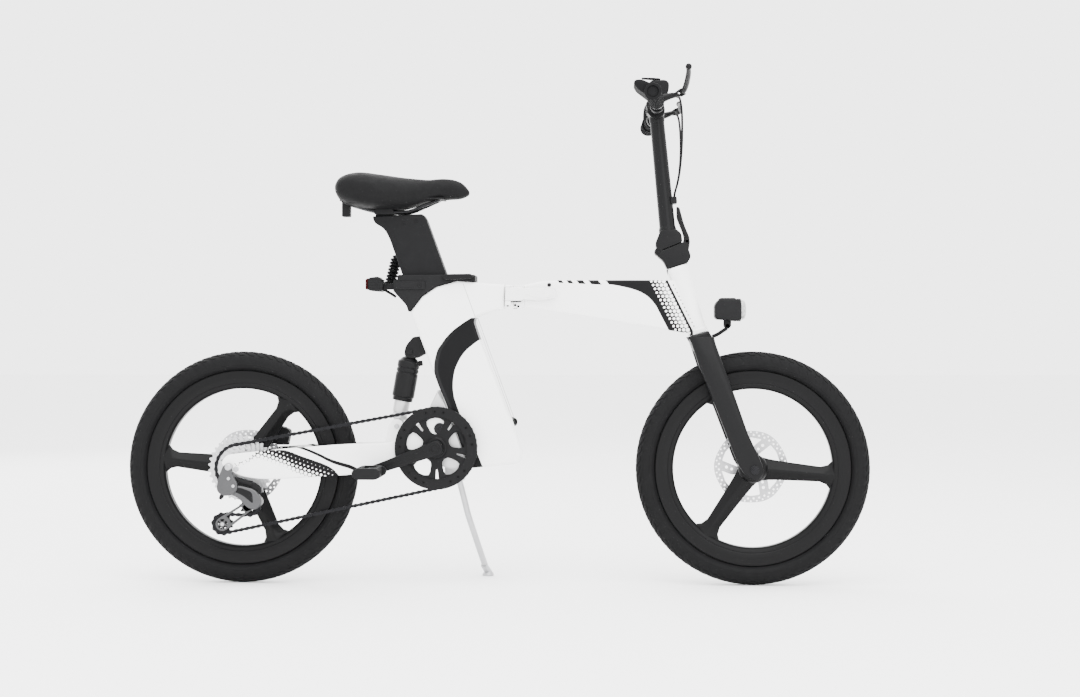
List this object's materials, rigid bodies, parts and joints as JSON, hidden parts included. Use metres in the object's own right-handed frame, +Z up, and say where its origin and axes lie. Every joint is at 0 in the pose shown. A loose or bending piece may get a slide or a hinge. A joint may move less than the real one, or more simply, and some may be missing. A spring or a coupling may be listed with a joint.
{
  "type": "folding_bicycle",
  "caption": "Folding electric bicycle with small cast wheels, a fold in the frame and in the handlepost, rear suspension, disc brakes, chain drive, headlight and kickstand",
  "frame": {"origin": "on the ground under the middle of the wheelbase, on the centre plane of the frame", "axes": "+X is forward, +Y is the rider's left, +Z is up"},
  "size_m": [1.607, 0.5964, 1.0807],
  "materials": {
    "white_paint": "gloss",
    "black_paint": "satin",
    "black_plastic": "matte",
    "tyre_rubber": "matte",
    "rubber": "matte",
    "saddle_cover": "matte",
    "steel": "satin",
    "grey_alloy": "satin",
    "light_alloy": "satin",
    "dark_steel": "satin",
    "clear_lens": "gloss",
    "red_lens": "gloss",
    "cable": "matte"
  },
  "bodies": {
    "rear_frame": {"rear_frame": "white_paint", "seat_tube_cover": "black_plastic", "pivot_bracket": "light_alloy", "rear_hinge_half": "white_paint", "shock_bracket": "black_paint", "tail_light_body": "black_plastic", "tail_light_lens": "red_lens", "swingarm_pivot_bolt": "dark_steel", "battery_lead": "cable"},
    "frame_latch": {"frame_latch_lever": "white_paint"},
    "front_frame": {"front_frame": "white_paint", "front_hinge_half": "white_paint"},
    "fork": {"fork": "black_paint", "front_axle": "steel", "front_caliper": "black_paint", "headlight_bracket": "black_plastic", "stem_base": "black_paint"},
    "headlight": {"headlight_body": "black_plastic", "headlight_lens": "clear_lens"},
    "front_wheel": {"front_tyre": "tyre_rubber", "front_wheel": "black_paint", "front_brake_rotor": "steel"},
    "handlepost": {"handlepost": "black_paint", "handlebar": "black_paint", "grip_right": "rubber", "grip_left": "rubber", "brake_mount_right": "black_paint", "brake_mount_left": "black_paint", "shifter": "black_plastic", "display": "black_plastic", "brake_cable_right": "cable", "brake_cable_left": "cable"},
    "stem_latch": {"stem_latch_lever": "black_paint"},
    "brake_lever_left": {"brake_lever_left": "black_paint"},
    "brake_lever_right": {"brake_lever_right": "black_paint"},
    "shift_lever": {"shift_lever": "black_plastic"},
    "seat_post": {"seat_post": "black_paint", "saddle_rails": "dark_steel", "saddle": "saddle_cover"},
    "seat_clamp": {"seat_clamp_lever": "black_paint"},
    "kickstand": {"kickstand": "steel"},
    "swingarm": {"swingarm": "white_paint", "rear_axle": "steel", "derailleur_body": "grey_alloy", "rear_caliper": "black_paint", "chain": "dark_steel"},
    "rear_wheel": {"rear_tyre": "tyre_rubber", "rear_wheel": "black_paint", "rear_brake_rotor": "steel"},
    "cassette": {"cassette": "steel"},
    "crank": {"chainring": "black_paint", "crank_arm_right": "black_paint", "crank_arm_left": "black_paint"},
    "pedal_right": {"pedal_right": "black_plastic"},
    "pedal_left": {"pedal_left": "black_plastic"},
    "derailleur_cage": {"derailleur_cage": "grey_alloy"},
    "guide_pulley": {"guide_pulley": "black_plastic"},
    "tension_pulley": {"tension_pulley": "black_plastic"},
    "shock_body": {"shock_body": "black_paint"},
    "shock_shaft": {"shock_shaft": "steel"}
  },
  "joints": [
    {"name": "frame_fold", "type": "hinge", "parent": "rear_frame", "child": "front_frame", "pos_m": [0.0383, 0.041, 0.62], "axis": [0, 0, 1], "range_deg": [0, 160]},
    {"name": "frame_latch", "type": "hinge", "parent": "rear_frame", "child": "frame_latch", "pos_m": [0.027, -0.0387, 0.626], "axis": [0, 0, -1], "range_deg": [0, 110]},
    {"name": "steering", "type": "hinge", "parent": "front_frame", "child": "fork", "pos_m": [0.3919, 0, 0.6808], "axis": [-0.2986, 0, 0.9544], "range_deg": [-50, 50]},
    {"name": "headlight_tilt", "type": "hinge", "parent": "fork", "child": "headlight", "pos_m": [0.498, 0, 0.558], "axis": [0, 1, 0], "range_deg": [-15, 20]},
    {"name": "front_wheel_spin", "type": "hinge", "parent": "fork", "child": "front_wheel", "pos_m": [0.552, 0, 0.2515], "axis": [0, 1, 0], "continuous": true},
    {"name": "handlepost_fold", "type": "hinge", "parent": "fork", "child": "handlepost", "pos_m": [0.35, 0, 0.717], "axis": [0, -1, 0], "range_deg": [0, 95]},
    {"name": "stem_latch", "type": "hinge", "parent": "fork", "child": "stem_latch", "pos_m": [0.411, 0, 0.74], "axis": [0, 1, 0], "range_deg": [0, 110]},
    {"name": "brake_pull_left", "type": "hinge", "parent": "handlepost", "child": "brake_lever_left", "pos_m": [0.395, 0.15, 1.04], "axis": [-0.45, 0, 0.893], "range_deg": [0, 22], "stiffness_Nm_per_rad": 2, "springref_deg": -20.05},
    {"name": "brake_pull_right", "type": "hinge", "parent": "handlepost", "child": "brake_lever_right", "pos_m": [0.395, -0.15, 1.04], "axis": [0.45, 0, -0.893], "range_deg": [0, 22], "stiffness_Nm_per_rad": 2, "springref_deg": -20.05},
    {"name": "shift_push", "type": "hinge", "parent": "handlepost", "child": "shift_lever", "pos_m": [0.346, -0.089, 1.076], "axis": [0, 0, 1], "range_deg": [0, 25], "stiffness_Nm_per_rad": 0.5, "springref_deg": -17.19},
    {"name": "seat_height", "type": "slide", "parent": "rear_frame", "child": "seat_post", "axis": [-0.342, 0, 0.9397], "range_m": [-0.05, 0.05], "deforming": ["battery_lead"]},
    {"name": "seat_clamp", "type": "hinge", "parent": "rear_frame", "child": "seat_clamp", "pos_m": [-0.108, -0.0405, 0.662], "axis": [0, 0, -1], "range_deg": [0, 110]},
    {"name": "kickstand_fold", "type": "hinge", "parent": "rear_frame", "child": "kickstand", "pos_m": [-0.09, 0.044, 0.236], "axis": [-0.055, 0.9408, 0.3344], "range_deg": [0, 94]},
    {"name": "swingarm_pivot", "type": "hinge", "parent": "rear_frame", "child": "swingarm", "pos_m": [-0.1195, 0, 0.337], "axis": [0, 1, 0], "range_deg": [0, 7], "stiffness_Nm_per_rad": 1200, "springref_deg": -5.73, "deforming": ["chain"]},
    {"name": "rear_wheel_spin", "type": "hinge", "parent": "swingarm", "child": "rear_wheel", "pos_m": [-0.552, 0, 0.2515], "axis": [0, 1, 0], "continuous": true},
    {"name": "cassette_spin", "type": "hinge", "parent": "swingarm", "child": "cassette", "pos_m": [-0.552, 0, 0.2515], "axis": [0, 1, 0], "continuous": true},
    {"name": "crank_spin", "type": "hinge", "parent": "rear_frame", "child": "crank", "pos_m": [-0.127, 0, 0.2955], "axis": [0, 1, 0], "continuous": true},
    {"name": "pedal_right_spin", "type": "hinge", "parent": "crank", "child": "pedal_right", "pos_m": [-0.25897, 0, 0.24877], "axis": [0, 1, 0], "continuous": true},
    {"name": "pedal_left_spin", "type": "hinge", "parent": "crank", "child": "pedal_left", "pos_m": [0.00497, 0, 0.34223], "axis": [0, 1, 0], "continuous": true},
    {"name": "cage_swing", "type": "hinge", "parent": "swingarm", "child": "derailleur_cage", "pos_m": [-0.509, 0, 0.182], "axis": [0, 1, 0], "range_deg": [-4, 8], "stiffness_Nm_per_rad": 1},
    {"name": "guide_pulley_spin", "type": "hinge", "parent": "derailleur_cage", "child": "guide_pulley", "pos_m": [-0.53, 0, 0.171], "axis": [0, 1, 0], "continuous": true},
    {"name": "tension_pulley_spin", "type": "hinge", "parent": "derailleur_cage", "child": "tension_pulley", "pos_m": [-0.588, 0, 0.131], "axis": [0, 1, 0], "continuous": true},
    {"name": "shock_swing", "type": "hinge", "parent": "rear_frame", "child": "shock_body", "pos_m": [-0.1865, 0, 0.502], "axis": [0, 1, 0], "range_deg": [0, 0.4]},
    {"name": "shock_stroke", "type": "slide", "parent": "shock_body", "child": "shock_shaft", "axis": [0.1743, 0, 0.9847], "range_m": [0, 0.0125]}
  ],
  "couplings": [
    {"joint": "cassette_spin", "follows": "crank_spin", "ratio": 1.68},
    {"joint": "guide_pulley_spin", "follows": "crank_spin", "ratio": -4.15},
    {"joint": "tension_pulley_spin", "follows": "crank_spin", "ratio": 4.15},
    {"joint": "shock_swing", "follows": "swingarm_pivot", "ratio": 0.0453},
    {"joint": "shock_stroke", "follows": "swingarm_pivot", "m_per_rad": 0.0952}
  ]
}
